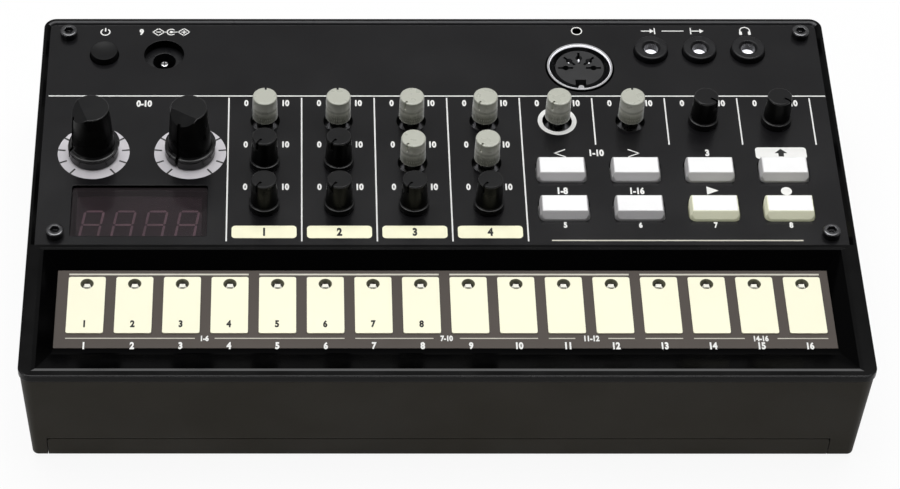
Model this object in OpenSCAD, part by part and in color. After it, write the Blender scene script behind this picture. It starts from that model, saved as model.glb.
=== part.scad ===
// Tabletop drum machine: knobs, buttons, sixteen touch keys, sockets on top, battery hatch below.
// Origin: middle of the base on the table. +X right, +Y back, +Z up. Millimetres.

/* [Case] */
// Overall width
case_w = 193; // [190:0.5:196]
// Overall depth
case_d = 115; // [114:0.5:117]
// Height of the rim above the table
rim_top = 31.5; // [31:0.1:32.5]
// Height of the rim band seen from the side
rim_band = 2.2; // [2:0.1:2.6]
// Corner radius of the rim seen from above
corner_r = 3; // [2.8:0.1:4]
// How far the lower case stands back under the rim
step_in = 0.3; // [0.2:0.05:0.9]
// How much the lower case narrows on each side towards the base
taper = 1.2; // [0.8:0.1:1.5]
// Wall thickness of the lower case
wall = 2.2; // [1.9:0.1:2.4]
// Thickness of the floor and of the battery hatch
floor_t = 2; // [1.8:0.1:2.4]
// Height of the rubber feet
foot_h = 1.2; // [0.8:0.1:1.8]

/* [Control panel] */
// How far the panel lies below the rim
panel_drop = 0.9; // [0.7:0.05:1.1]
// Thickness of the panel
panel_t = 2.2; // [2:0.1:2.4]
// Width of the rim beside the panel
rim_w = 1.6; // [1.4:0.1:2.2]
// Front edge of the panel
panel_front = -17.8; // [-18:0.1:-17.6]
// How far the panel layout lies to the right of the middle
layout_x = 0.35; // [-0.5:0.05:0.8]
// Distance between neighbouring knob columns
column_pitch = 17.63; // [17.2:0.01:17.7]
// Distance between neighbouring knob rows
row_pitch = 13.85; // [13.4:0.05:14]
// Middle of the back row of small knobs
row_back_y = 22.9; // [22.5:0.1:23.2]

/* [Small knobs] */
// Height of the clear knobs' top above the panel
clear_top = 8.6; // [8:0.1:9]
// Gap between the clear knobs and the panel
clear_lift = 1.9; // [1.4:0.1:2.1]
// Radius of the clear knobs at their base
clear_r = 3.05; // [2.9:0.05:3.2]
// Height of the black knobs' top above the panel
black_top = 9.3; // [8.8:0.1:10]
// Height of the two right-hand black knobs' top above the panel
low_top = 8.6; // [8.2:0.1:9.2]
// Radius of the black knobs at their top
black_r = 2.95; // [2.8:0.05:3.1]
// Radius of the black knobs' skirt
skirt_r = 3.6; // [3.5:0.05:3.8]
// Radius of the holes in the panel
knob_hole_r = 3.55; // [3.3:0.05:3.7]
// Radius of the small controls' shafts
shaft_r = 2; // [1.8:0.05:2.1]

/* [Large knobs] */
// Height of the large knobs' top above the panel
dial_top = 15.4; // [14.8:0.1:16]
// Radius of the large knobs at their top
dial_r = 4.35; // [4.2:0.05:4.5]
// Radius of the large knobs at the foot of the grip
dial_grip_r = 5.1; // [5:0.05:5.3]
// Radius of the large knobs' skirt
dial_skirt_r = 6; // [5.8:0.1:6.4]
// Drop of the slanted pointer face
dial_slant = 2.2; // [1.6:0.1:2.6]
// Distance between the two large knobs
dial_pitch = 23.1; // [22.6:0.1:23.6]
// Radius of the large controls' shafts
dial_shaft_r = 3; // [2.8:0.05:3.1]

/* [Buttons] */
// Width of a button
button_w = 11.6; // [11.2:0.1:12.2]
// Depth of a button
button_d = 6.9; // [6.6:0.1:7.4]
// Height of a button above the panel
button_h = 2.4; // [2:0.1:2.8]
// How much a button narrows at its left and right towards its top
button_side = 0.5; // [0.3:0.05:0.8]
// How much it narrows at its front and back
button_slope = 1; // [0.8:0.05:1.3]
// Travel of a button
button_travel = 0.8; // [0.5:0.05:0.9]
// Radius of the power button
power_r = 3.3; // [3:0.1:3.5]

/* [Touch keys] */
// Drop from the rim to the touch plate
tray_drop = 3.6; // [3.4:0.1:3.8]
// Width of the rim beside the touch keys
tray_rim = 3; // [2.8:0.1:3.4]
// Length of the slopes beside and behind the touch plate
tray_run = 4.2; // [3.8:0.1:4.4]
// Depth of the touch plate
plate_d = 23.6; // [23.2:0.1:23.8]
// Thickness of the touch plate
plate_t = 1.5; // [1.2:0.1:1.6]
// Width of a touch key
pad_w = 8.55; // [8.2:0.05:9]
// Depth of a touch key
pad_d = 16.95; // [16:0.05:17.5]
// Distance between neighbouring touch keys
pad_pitch = 11.02; // [10.9:0.01:11.06]
// Radius of the light hole in each key
led_hole_r = 1.1; // [1:0.05:1.2]
// Radius of its flared mouth
led_mouth_r = 1.55; // [1.4:0.05:1.6]

/* [Sockets] */
// Radius of the round five-pole socket's shell
din_r = 8; // [7.8:0.1:8.4]
// Radius of the insert inside it
din_insert_r = 5.95; // [5.8:0.05:6]
// Radius of the small sockets' collars
jack_collar_r = 4.1; // [3.9:0.1:4.3]
// Bore radius of the small sockets
jack_bore_r = 1.8; // [1.76:0.01:1.85]
// Distance between neighbouring small sockets
jack_pitch = 11.95; // [11.8:0.05:12.2]
// Radius of the power socket's well in the panel
dc_well_r = 4.95; // [4.8:0.05:5.1]

/* [Battery hatch] */
// How far the hatch's front lip lies in from the left side
hatch_in_left = 5.3; // [4.9:0.1:5.9]
// How far the hatch's front lip lies in from the right side
hatch_in_right = 7.7; // [5.9:0.1:8.3]
// Height of the lip's upper edge
hatch_lip_z = 7.5; // [7:0.1:8]
// Depth of the hatch from the front wall
hatch_depth = 37.2; // [36.8:0.1:37.6]
// Length of one battery compartment
cell_l = 53; // [52.5:0.1:53.4]
// Depth of the two battery rows
cell_rows = 29.8; // [29.4:0.1:30]

/* [Hidden] */
$fn = 64;
gap = 0.3;            // play between a moving piece and its guide
snug = 0.05;          // play of pieces that belong tightly together
seam = 0.15;          // parting gap round the battery hatch
base_z = foot_h;
floor_z = base_z + floor_t;
part_z = rim_top - rim_band;
panel_z = rim_top - panel_drop;
panel_under = panel_z - panel_t;
half_w = case_w / 2;
half_d = case_d / 2;
across = case_w / 193; // the layout keeps its share of the case's width and depth
along = case_d / 115;
board_t = 1.6;
control_h = 6.8;      // room between the panel and its board
board_z = panel_under - control_h;
io_z = board_z - 5.6; // top of the socket board
main_z = floor_z + 4.8;
pot_seat = board_z + 1.4;
shaft_top = panel_z + clear_top - 3.7;
stem_r = 1.6;
switch_z = board_z + 4.3;                // top of the switches' plungers
stem_z = switch_z + button_travel + 0.1; // foot of the buttons' stems
dc_top = panel_under - 0.2;
dc_depth = 9.4;
screw_r = 1.4;
boss_r = 3;

plate_z = rim_top - tray_drop;
ledge_z = plate_z - plate_t;
tray_top_w = case_w - 2 * tray_rim;
plate_w = tray_top_w - 2 * tray_run;
panel_y = panel_front * along; // front edge of the panel
ridge_w = 1.1;
tray_back = panel_y - ridge_w;
plate_back = tray_back - tray_run + 0.4;
plate_front = plate_back - plate_d;
tray_front = -half_d + 2.6;
fillet_t = 1.1;
slope_foot = plate_front - fillet_t;
lip_w = 0.9;          // narrow bevel between the rim and the tray's slopes
lip_drop = 0.3;
slope_a = atan((tray_drop - lip_drop) / (slope_foot - tray_front));
fillet_r = fillet_t / tan(slope_a / 2);

column_x0 = -41.8 * across + layout_x;
dial_x0 = -82.75 * across + layout_x;
dial_y = 12.3 * along;
button_x0 = 28.77 * across + layout_x;
button_y0 = 6.25 * along;
button_row = 12.3 * along;
button_round = 1.4;
power_x = -81.55 * across + layout_x;
power_y = 45.4 * along;
dc_x = -66.85 * across + layout_x;
dc_y = 45.6 * along;
din_x = 35.3 * across + layout_x;
din_y = 41.15 * along;
jack_x0 = 53.15 * across + layout_x;
jack_y = 46.6 * along;
jack_lift = 1.65;
window_x = -71.25 * across + layout_x;
window_y = -6.4 * along;
window_w = 32.1;
window_d = 16.2;
pad_x0 = -7.5 * pad_pitch * across + layout_x;
pad_back = plate_back - 2.3;
led_y = pad_back - 2.1;
pad_t = 0.3;
screw_x = half_w - 5.9;
screw_ys = [half_d - 5.2, -14 * along];
screws = [for (side = [-1, 1], y = screw_ys) [side * screw_x + layout_x, y, side]];
bore_play = 0.05;     // running play of a shaft in its bushing

hatch_left = -half_w + hatch_in_left;
hatch_right = half_w - hatch_in_right;
hatch_back = -half_d + hatch_depth + 0.95;
lap = 1.5;            // how far the hatch's back edge reaches over the floor
box_back = hatch_back + lap + 2.5; // back edge of the battery box's foot
lip_in = -half_d + 3.65;
floor_in = 1.9;       // hatch floor and its side tongues, in from the ends of the lip
tongue_in = 0.45;
rail_z = base_z + 1;
cell_back = lip_in + 0.45 + cell_rows;
bay_top = floor_z + 15.2;
bay_wall = 1.6;
bay_w = 3 * cell_l + 2 * bay_wall;

speaker_x = 62 * across;
speaker_y = 20 * along;
speaker_r = 18.5;
main_x = -18 * across;
main_y = 12 * along;
main_w = 56;
main_d = 36;

// Clockwise pointer angle of each small knob, and whether its cap is clear.
knobs = [
    ["knob_11", 0, 0, 4, true], ["knob_12", 1, 0, -4, true],
    ["knob_13", 2, 0, -145, true], ["knob_14", 3, 0, -145, true],
    ["knob_15", 4, 0, -145, true], ["knob_16", 5, 0, 0, true],
    ["knob_17", 6, 0, 125, false], ["knob_18", 7, 0, 125, false],
    ["knob_21", 0, 1, -145, false], ["knob_22", 1, 1, -145, false],
    ["knob_23", 2, 1, -145, true], ["knob_24", 3, 1, -145, true],
    ["knob_31", 0, 2, -145, false], ["knob_32", 1, 2, -145, false],
    ["knob_33", 2, 2, -145, false], ["knob_34", 3, 2, -145, false],
];
shafts = [
    ["shaft_11", 0, 0], ["shaft_12", 1, 0], ["shaft_13", 2, 0], ["shaft_14", 3, 0],
    ["shaft_15", 4, 0], ["shaft_16", 5, 0], ["shaft_23", 2, 1], ["shaft_24", 3, 1],
];
buttons = [
    ["button_11", 0, 0], ["button_12", 1, 0], ["button_13", 2, 0], ["button_14", 3, 0],
    ["button_21", 0, 1], ["button_22", 1, 1], ["button_23", 2, 1], ["button_24", 3, 1],
];
dials = [["dial_left", 0, -110], ["dial_right", 1, -149]];
// Posts that carry the panel board and the socket board.
top_posts = [for (p = [[-50.4, -11.5], [19.4, -12.5], [-50.4, 29.2], [20.3, 29.2], [-89, 28], [89, 28]])
    [p[0] * across, p[1] * along]];
io_posts = [for (p = [[-89, 43], [-20, 45], [15, 45], [89, 43]]) [p[0] * across, p[1] * along]];
main_posts = [for (x = [-1, 1], y = [-1, 1]) [main_x + x * (main_w / 2 - 3), main_y + y * (main_d / 2 - 3)]];

function knob_x(column) = column_x0 + column * column_pitch * across;
function knob_y(row) = (row_back_y - row * row_pitch) * along;
function button_x(column) = button_x0 + column * column_pitch * across;
function button_y(row) = button_y0 - row * button_row;
function dial_x(i) = dial_x0 + i * dial_pitch * across;
function jack_x(i) = jack_x0 + i * jack_pitch * across;
function pad_x(i) = pad_x0 + i * pad_pitch * across;

// ---- shared shapes -------------------------------------------------------------------

// Rounded rectangle with true arcs.
module round_rect(w, d, r) {
    square([w - 2 * r, d], center = true);
    square([w, d - 2 * r], center = true);
    for (x = [-1, 1], y = [-1, 1])
        translate([x * (w / 2 - r), y * (d / 2 - r)]) circle(r);
}

// Solid whose edge follows the child's profile: x outward from the corner centres, y up.
module moulded(w, d, z0, z1) {
    for (x = [-1, 1], y = [-1, 1])
        translate([x * w / 2, y * d / 2, 0]) rotate_extrude() children();
    for (turn = [0, 180]) rotate(turn) {
        translate([w / 2, d / 2, 0]) rotate([90, 0, 0]) linear_extrude(d) children();
        translate([-w / 2, d / 2, 0]) rotate([90, 0, 90]) linear_extrude(w) children();
    }
    translate([-w / 2, -d / 2, z0]) cube([w, d, z1 - z0]);
}

// Child profile (x across, y up) extruded along the depth, or along the width.
module along_depth(d) rotate([90, 0, 0]) linear_extrude(2 * d, center = true) children();
module along_width(w) rotate([90, 0, 90]) linear_extrude(2 * w, center = true) children();

module box(x0, x1, y0, y1, z0, z1) translate([x0, y0, z0]) cube([x1 - x0, y1 - y0, z1 - z0]);

module rod(x, y, r, z0, z1) translate([x, y, z0]) cylinder(r = r, h = z1 - z0);

// ---- lower case ----------------------------------------------------------------------

// Outside of the lower case: tapering walls, rounded upright and bottom edges.
module lower_outline() {
    r_top = corner_r - step_in;
    r_base = r_top - taper;
    h = part_z - base_z;
    k = taper / h;
    q = sqrt(1 + k * k);
    edge_r = min(0.5, r_base - 0.1);
    edge_x = r_base + k * edge_r - edge_r * q;
    moulded(case_w - 2 * corner_r, case_d - 2 * corner_r, base_z, part_z) {
        union() {
            polygon([
                [0, base_z], [edge_x, base_z], [edge_x + edge_r / q, base_z + edge_r - edge_r * k / q],
                [r_top, part_z], [0, part_z],
            ]);
            intersection() {
                translate([edge_x, base_z + edge_r]) circle(edge_r);
                translate([0, base_z]) square([corner_r, edge_r]);
            }
        }
    }
}

// Inside of the lower case, parallel to its walls.
module lower_cavity() {
    intersection() {
        along_depth(case_d) wall_section(half_w);
        along_width(case_w) wall_section(half_d);
    }
}

module wall_section(half) {
    top = half - step_in - wall;
    low = top - taper * (part_z - floor_z) / (part_z - base_z);
    polygon([
        [-low, floor_z], [low, floor_z], [top, part_z], [top, part_z + 1],
        [-top, part_z + 1], [-top, part_z],
    ]);
}

// Room for the hatch in the floor, its rails and the front wall.
module hatch_room() {
    back = hatch_back + seam;
    box(hatch_left + floor_in, hatch_right - floor_in, -case_d, back, base_z - 1, rail_z + 0.1);
    box(hatch_left + tongue_in, hatch_right - tongue_in, -case_d, back + lap, rail_z, floor_z + 1);
    box(hatch_left - seam, hatch_right + seam, -case_d, lip_in + seam, base_z - 1, hatch_lip_z + seam);
}

// Slots in the floor under the loudspeaker, cut to a round outline.
module speaker_slots() {
    reach = 15;
    pitch = 4;
    slot_w = 1.7;
    for (i = [-3:3])
        translate([speaker_x, speaker_y + pitch * i, base_z - 1]) linear_extrude(floor_t + 2)
            round_rect(2 * sqrt(pow(reach, 2) - pow(pitch * i, 2)), slot_w, slot_w / 2 - 0.05);
}

module bottom_case() color("#1b1b1d") {
    difference() {
        union() {
            difference() {
                lower_outline();
                lower_cavity();
            }
            for (s = screws) translate([s[0], s[1], floor_z - 0.5])
                linear_extrude(panel_under - floor_z + 0.5) {
                    circle(boss_r);
                    // Web that ties the boss to the side wall.
                    translate([s[2] * boss_r, 0]) square([2 * boss_r, 1.6], center = true);
                }
            for (p = top_posts) rod(p[0], p[1], 2.4, floor_z - 0.5, board_z - board_t);
            for (p = io_posts) rod(p[0], p[1], 2.4, floor_z - 0.5, io_z - board_t);
            for (p = main_posts) {
                rod(p[0], p[1], 2.6, floor_z - 0.5, main_z - board_t);
                rod(p[0], p[1], 1.2, main_z - board_t - 0.5, main_z + 0.5);
            }
            difference() {
                rod(speaker_x, speaker_y, speaker_r + 1.7, floor_z - 0.5, floor_z + 2.6);
                rod(speaker_x, speaker_y, speaker_r + 0.3, floor_z - 1, floor_z + 3);
            }
            for (x = [-76 * across, 34 * across])
                box(x - 0.6, x + 0.6, box_back + 0.5, half_d - step_in - wall - 0.8, floor_z - 0.5, floor_z + 1.6);
        }
        hatch_room();
        speaker_slots();
        for (s = screws) rod(s[0], s[1], screw_r + snug, panel_under - 16, panel_under + 1);
    }
}

// Box over the three battery compartments, open to the hatch below and to the case's front wall.
// It stands on the floor behind the hatch and beside it.
module battery_box() color("#232326") {
    cell_front = lip_in + 0.45;
    finger_r = 5;
    play = 0.25;
    end = bay_w / 2 + bay_wall;
    side = half_w - step_in - wall - taper - 0.2;
    difference() {
        union() {
            box(-end, end, cell_front, cell_back + bay_wall, floor_z + play, bay_top + bay_wall);
            box(-end, end, cell_back, box_back, floor_z + play, floor_z + 1.8);
            box(-side, side, cell_back - 8, cell_back, floor_z + play, floor_z + 1.8);
            box(-end, end, hatch_back + lap + 0.5, box_back, floor_z, floor_z + 1);
            box(-side, hatch_left, cell_back - 8, cell_back, floor_z, floor_z + 1);
            box(hatch_right, side, cell_back - 8, cell_back, floor_z, floor_z + 1);
        }
        for (i = [-1:1])
            translate([i * (cell_l + bay_wall) - cell_l / 2, cell_front - 1, floor_z - 1])
                cube([cell_l, cell_rows + 1, bay_top - floor_z + 1]);
        // Round notches in the partitions let a finger reach the cells.
        for (x = [-1, 1])
            translate([x * (cell_l + bay_wall) / 2, (cell_front + cell_back) / 2, floor_z])
                rotate([90, 0, 90]) linear_extrude(2 * bay_wall, center = true) circle(finger_r);
    }
}

// ---- top case ------------------------------------------------------------------------

module rim_edge() {
    edge = 0.4;
    difference() {
        union() {
            translate([0, part_z]) square([corner_r - edge, rim_band]);
            translate([0, part_z]) square([corner_r, rim_band - edge]);
            translate([corner_r - edge, rim_top - edge]) circle(edge);
        }
        translate([corner_r, part_z]) rotate(45) square(0.5, center = true);
    }
}

// Room above a sunk panel, with a bevel round its sides and back.
module panel_recess() {
    bevel = 0.8;
    side = corner_r - rim_w;
    above = 1;
    intersection() {
        moulded(case_w - 2 * corner_r, case_d - 2 * corner_r, panel_z, rim_top + above) polygon([
            [0, panel_z], [side, panel_z],
            [side + bevel * (1 + above / panel_drop), rim_top + above], [0, rim_top + above],
        ]);
        along_width(case_w) polygon([
            [panel_y, panel_z], [half_d, panel_z], [half_d, rim_top + above],
            [panel_y - 0.3, rim_top + above],
        ]);
    }
}

// Room above the touch plate: slopes on three sides, a gentle hollowed slope in front,
// and a narrow bevel round the mouth.
module tray_room() {
    half = plate_w / 2;
    mouth = half + tray_run;
    lip_z = rim_top - lip_drop;
    kb = (tray_back - plate_back) / tray_drop;
    centre = [plate_front, plate_z + fillet_r];
    foot = [slope_foot, plate_z];
    touch = foot + fillet_t * [-cos(slope_a), sin(slope_a)];
    intersection() {
        along_depth(case_d) polygon([
            [-half, ledge_z], [half, ledge_z], [half, plate_z], [mouth - lip_w, lip_z],
            [mouth, rim_top], [mouth, rim_top + 1], [-mouth, rim_top + 1], [-mouth, rim_top],
            [lip_w - mouth, lip_z], [-half, plate_z],
        ]);
        along_width(case_w) {
            polygon([
                [plate_back, ledge_z], [plate_back, plate_z], [tray_back + kb, rim_top + 1],
                [tray_front - lip_w, rim_top + 1], [tray_front - lip_w, rim_top],
                [tray_front, lip_z], touch, [plate_front, plate_z], [plate_front, ledge_z],
            ]);
            intersection() {
                translate(centre) circle(fillet_r);
                polygon([centre, [plate_front, plate_z], foot, touch]);
            }
        }
    }
}

// Underside of the tray, one wall thickness below its surfaces.
module tray_shell() {
    inner = half_d - step_in - wall - seam;
    intersection() {
        along_width(half_w - step_in - wall - 0.9) polygon([
            [panel_y + 1.8, panel_under], [plate_back + 2, ledge_z - 1.5],
            [slope_foot + 1, ledge_z - 1.5], [-inner, part_z - 2.2],
            [-inner, part_z + 0.5], [panel_y + 1.8, part_z + 0.5],
        ]);
        box(-half_w + step_in + wall + 0.9, half_w - step_in - wall - 0.9, -case_d, case_d, 0, part_z + 0.5);
    }
}

// Underside of the panel, with a lip all round that drops into the lower case.
module locating_lip() {
    lip_h = 2.2;
    lip_t = 1.5;
    half_x = half_w - step_in - wall - seam;
    half_y = half_d - step_in - wall - seam;
    difference() {
        box(-half_x, half_x, -half_y, half_y, part_z - lip_h, part_z + 0.5);
        box(lip_t - half_x, half_x - lip_t, lip_t - half_y, half_y - lip_t, 0, panel_under);
        // In front of the panel only the lip goes on.
        box(lip_t - half_x, half_x - lip_t, lip_t - half_y, panel_y, 0, part_z);
    }
}

module panel_holes() {
    z0 = panel_under - 1;
    z1 = rim_top + 1;
    rod(din_x, din_y, din_r + 0.45, z0, z1);
    for (i = [0:2]) rod(jack_x(i), jack_y, jack_collar_r + seam, z0, z1);
    rod(dc_x, dc_y, dc_well_r, z0, z1);
    rod(power_x, power_y, power_r + gap, z0, z1);
    for (k = knobs) rod(knob_x(k[1]), knob_y(k[2]), knob_hole_r, z0, z1);
    for (i = [0, 1]) rod(dial_x(i), dial_y, dial_shaft_r + 0.75, z0, z1);
    for (b = buttons)
        translate([button_x(b[1]), button_y(b[2]), z0]) linear_extrude(z1 - z0)
            round_rect(button_w + 2 * gap, button_d + 2 * gap, button_round + gap);
    translate([window_x, window_y, z0]) linear_extrude(z1 - z0) round_rect(window_w, window_d, 0.7);
    for (s = screws) rod(s[0], s[1], screw_r + 0.25, z0, z1);
}

module top_case() color("#202022") {
    difference() {
        union() {
            moulded(case_w - 2 * corner_r, case_d - 2 * corner_r, part_z, rim_top) rim_edge();
            locating_lip();
            tray_shell();
            for (p = top_posts) rod(p[0], p[1], 2, board_z, part_z + 0.5);
            for (p = io_posts) rod(p[0], p[1], 2, io_z, part_z + 0.5);
        }
        panel_recess();
        tray_room();
        panel_holes();
        for (s = screws) translate([s[0], s[1], 0]) linear_extrude(panel_under) {
            circle(boss_r + gap);
            translate([s[2] * boss_r, 0]) square([2 * boss_r, 2 * (boss_r + gap)], center = true);
        }
        box(-plate_w / 2 + 3, plate_w / 2 - 3, plate_front + 2.6, plate_back - 2.6, 0, ledge_z + 1);
    }
}

// ---- touch keys ----------------------------------------------------------------------

module led_holes(z0, z1) for (i = [0:15]) translate([pad_x(i), led_y, 0]) {
    rod(0, 0, led_hole_r, z0, z1);
    translate([0, 0, plate_z - 0.5]) cylinder(r1 = led_hole_r, r2 = led_mouth_r, h = 0.5);
    rod(0, 0, led_mouth_r, plate_z - 0.01, z1);
}

module touch_plate() color("#4c4c50") {
    difference() {
        box(-plate_w / 2 + 0.1, plate_w / 2 - 0.1, plate_front + 0.1, plate_back - 0.1, ledge_z, plate_z);
        led_holes(ledge_z - 1, plate_z + 1);
    }
}

module touch_pads() color("#f2efd9") {
    difference() {
        for (i = [0:15])
            translate([pad_x(i), pad_back - pad_d / 2, plate_z]) linear_extrude(pad_t)
                round_rect(pad_w * across, pad_d, 0.5);
        led_holes(plate_z - 1, plate_z + 1);
    }
}

// Small lamps on the touch board: a carrier with a pale block on it in each key hole.
module step_leds() color("#f0efe6") {
    lamp_w = 1.3;
    lamp_d = 1;
    for (i = [0:15]) translate([pad_x(i), led_y, ledge_z]) {
        translate([-lamp_w / 2, -lamp_d / 2, 0]) cube([lamp_w, lamp_d, plate_t - 0.35]);
        cylinder(r = led_hole_r - 0.15, h = 0.5);
    }
}

module touch_board() color("#1f4a33")
    box(-plate_w / 2 + 3.4, plate_w / 2 - 3.4, plate_front + 3, plate_back - 3, ledge_z - board_t, ledge_z);

// ---- fasteners and sockets -----------------------------------------------------------

// Button-head socket screws standing proud of the panel.
module case_screws() color("#0d0d0e") {
    head_r = 2.1;
    head_h = 1.9;
    for (s = screws) translate([s[0], s[1], panel_z]) difference() {
        union() {
            rotate_extrude() {
                square([head_r - 0.5, head_h]);
                square([head_r, head_h - 0.5]);
                translate([head_r - 0.5, head_h - 0.5]) circle(0.5);
            }
            translate([0, 0, -14]) cylinder(r = screw_r, h = 14.5);
        }
        translate([0, 0, head_h - 1.3]) cylinder(r = 1.2, h = 2, $fn = 6);
    }
}

module midi_shell() color("#d8d8dc") {
    wall_t = 0.45;
    translate([din_x, din_y, 0]) {
        difference() {
            rod(0, 0, din_r, io_z, panel_z + 0.35);
            rod(0, 0, din_r - wall_t, io_z - 1, panel_z + 2);
        }
        // Guide tongue in the key slot of the insert.
        intersection() {
            translate([0, -din_r + wall_t / 2, io_z + 4]) linear_extrude(panel_z + 0.1 - io_z - 4) {
                translate([0, 0.9]) circle(0.7);
                translate([-0.7, 0]) square([1.4, 0.9]);
            }
            rod(0, 0, din_r, 0, rim_top + 9);
        }
    }
}

module midi_socket() color("#2b2b2e") {
    base_h = 3.5;
    pole_r = 3.4;
    top = panel_z - 0.15;
    translate([din_x, din_y, 0]) difference() {
        union() {
            rod(0, 0, din_r - 0.45 - snug, io_z, io_z + base_h);
            rod(0, 0, din_insert_r, io_z, top);
        }
        for (a = [0, 45, 90, 135, 180]) rotate(a) translate([pole_r, 0, panel_z - 7]) linear_extrude(9) {
            circle(0.8);
            square([3.7, 0.6], center = true);
        }
        box(-1.3, 1.3, -din_r, -din_insert_r + 1.9, io_z + base_h, rim_top);
    }
}

module mini_jacks() color("#141416") {
    body = [9.6, 10.4];
    for (i = [0:2]) translate([jack_x(i), jack_y, 0]) difference() {
        union() {
            translate([-body[0] / 2, -body[1] / 2, io_z]) cube([body[0], body[1], panel_under - io_z]);
            translate([0, 0, panel_under - 0.5]) rotate_extrude() {
                square([jack_collar_r - 0.4, panel_t + jack_lift + 0.5]);
                square([jack_collar_r, panel_t + jack_lift + 0.1]);
                translate([jack_collar_r - 0.4, panel_t + jack_lift + 0.1]) circle(0.4);
            }
        }
        rod(0, 0, jack_bore_r, io_z + 1.2, rim_top + 2);
        // Shallow countersink at the mouth.
        translate([0, 0, panel_z + jack_lift - 0.5])
            cylinder(r1 = jack_bore_r, r2 = jack_bore_r + 0.7, h = 0.7);
    }
}

module dc_jack() color("#161618") {
    difference() {
        union() {
            box(dc_x - 5.4, dc_x + 5.4, dc_y - 5.4, dc_y + 5.4, io_z, dc_top - 4);
            rod(dc_x, dc_y, dc_well_r + 0.4, io_z, dc_top);
        }
        rod(dc_x, dc_y, 2.8, dc_top - dc_depth, dc_top + 1);
    }
}

module dc_pin() color("#c9c9cc") {
    pin_r = 1;
    translate([dc_x, dc_y, dc_top - dc_depth]) rotate_extrude() {
        square([pin_r, 8.3]);
        translate([0, 8]) square([pin_r - 0.3, 0.6]);
        translate([pin_r - 0.3, 8.3]) circle(0.3);
    }
}

// ---- display -------------------------------------------------------------------------

module display_module() color("#1a1517") {
    top = panel_under - 0.1;
    difference() {
        translate([window_x, window_y, board_z]) linear_extrude(top - board_z)
            round_rect(window_w - 0.8, window_d - 0.8, 0.5);
        // Sunk face that the digits lie in.
        translate([window_x, window_y, top - 0.3]) linear_extrude(1)
            round_rect(window_w - 2.6, window_d - 3.6, 0.3);
    }
}

module display_window() color("#2c1f22")
    translate([window_x, window_y, panel_under - 0.1]) linear_extrude(panel_t - 0.7)
        round_rect(window_w - 2 * snug, window_d - 2 * snug, 0.65);

// ---- boards and parts on them --------------------------------------------------------

module panel_board() color("#1f4a33") {
    half = half_w - step_in - wall - taper - 1.2;
    difference() {
        box(-half, half, panel_y + 3.6, din_y - din_r - 1.9, board_z - board_t, board_z);
        for (s = screws) rod(s[0], s[1], boss_r + 0.5, 0, rim_top);
    }
}

module io_board() color("#1f4a33") {
    half = half_w - step_in - wall - taper - 1.2;
    difference() {
        box(-half, half, din_y - din_r + 0.1, half_d - step_in - wall - 1.6, io_z - board_t, io_z);
        for (s = screws) rod(s[0], s[1], boss_r + 0.5, 0, rim_top);
    }
}

// Processor board with its chips and the tall header that reaches the panel board.
module main_board() color("#1f4a33") {
    difference() {
        union() {
            translate([main_x, main_y, main_z - board_t]) linear_extrude(board_t)
                round_rect(main_w, main_d, 1);
            box(main_x - 8, main_x + 6, main_y - 9, main_y + 5, main_z - 0.5, main_z + 1.4);
            box(main_x + 11, main_x + 19, main_y - 6, main_y, main_z - 0.5, main_z + 1.2);
            box(main_x - 12, main_x + 12, main_y + 9, main_y + 14, main_z - 0.5, board_z - board_t);
            for (x = [-20, -15]) rod(main_x + x, main_y + 2, 2, main_z - 0.5, main_z + 5);
        }
        for (p = main_posts) rod(p[0], p[1], 1.2 + snug, 0, rim_top);
    }
}

// Potentiometer bodies, each with the bushing its shaft turns in.
module potentiometers() color("#3a3d40") {
    for (k = knobs) translate([knob_x(k[1]), knob_y(k[2]), 0]) difference() {
        union() {
            box(-4.8, 4.8, -5.2, 5.2, board_z, panel_under - 0.9);
            rod(0, 0, 2.8, board_z, panel_under - 0.2);
        }
        rod(0, 0, shaft_r + bore_play, pot_seat, rim_top);
    }
    for (i = [0, 1]) translate([dial_x(i), dial_y, 0]) difference() {
        union() {
            box(-5.9, 5.9, -5.9, 5.9, board_z, panel_under - 0.4);
            rod(0, 0, dial_shaft_r + 0.6, board_z, panel_z - 0.6);
        }
        rod(0, 0, dial_shaft_r + bore_play, pot_seat, rim_top);
    }
}

// Push switches, their plungers just under the buttons' stems.
module switches() color("#26262a") {
    for (b = buttons) translate([button_x(b[1]), button_y(b[2]), 0]) {
        box(-3, 3, -3, 3, board_z, board_z + 3.4);
        rod(0, 0, stem_r, board_z, switch_z);
    }
    box(power_x - 4, power_x + 4, power_y - 4, power_y + 4, io_z, io_z + 6);
    rod(power_x, power_y, stem_r, io_z, switch_z);
}

// Small loudspeaker lying face down on the slotted floor.
module speaker() color("#3c3c40") {
    r = speaker_r;
    translate([speaker_x, speaker_y, floor_z]) rotate_extrude() polygon([
        [0, 2.2], [5, 2.2], [r - 3.2, 0.6], [r - 2.4, 0], [r, 0], [r, 1.2], [r - 2, 1.4],
        [10.5, 5], [9.6, 5], [9.6, 9.4], [0, 9.4],
    ]);
}

// Contact plates at both ends of every cell; a short coil stands for each negative end's spring.
module battery_contacts() color("#b9bcc0") {
    plate = 0.4;
    coil = 0.45;
    row_d = cell_rows / 2;
    zc = floor_z + 7.6;
    for (i = [-1:1], j = [0, 1]) {
        flip = j == 0 ? 1 : -1;
        translate([i * (cell_l + bay_wall), cell_back - row_d * (j + 0.5), zc]) {
            for (end = [-1, 1]) translate([end * (cell_l - plate) / 2, 0, 0])
                cube([plate, row_d - 3, 10], center = true);
            translate([flip * (cell_l / 2 - plate - 0.4), 0, 0]) rotate([0, 90, 0])
                cylinder(r = 2.6, h = 0.9, center = true);
            for (turn = [0:2])
                translate([-flip * (cell_l / 2 - plate - coil * 0.8 - turn * coil * 1.6), 0, 0])
                    rotate([0, 90, 0]) rotate_extrude() translate([3.6 - 0.5 * turn, 0]) circle(coil);
        }
    }
}

// ---- feet, hatch, power button -------------------------------------------------------

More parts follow.
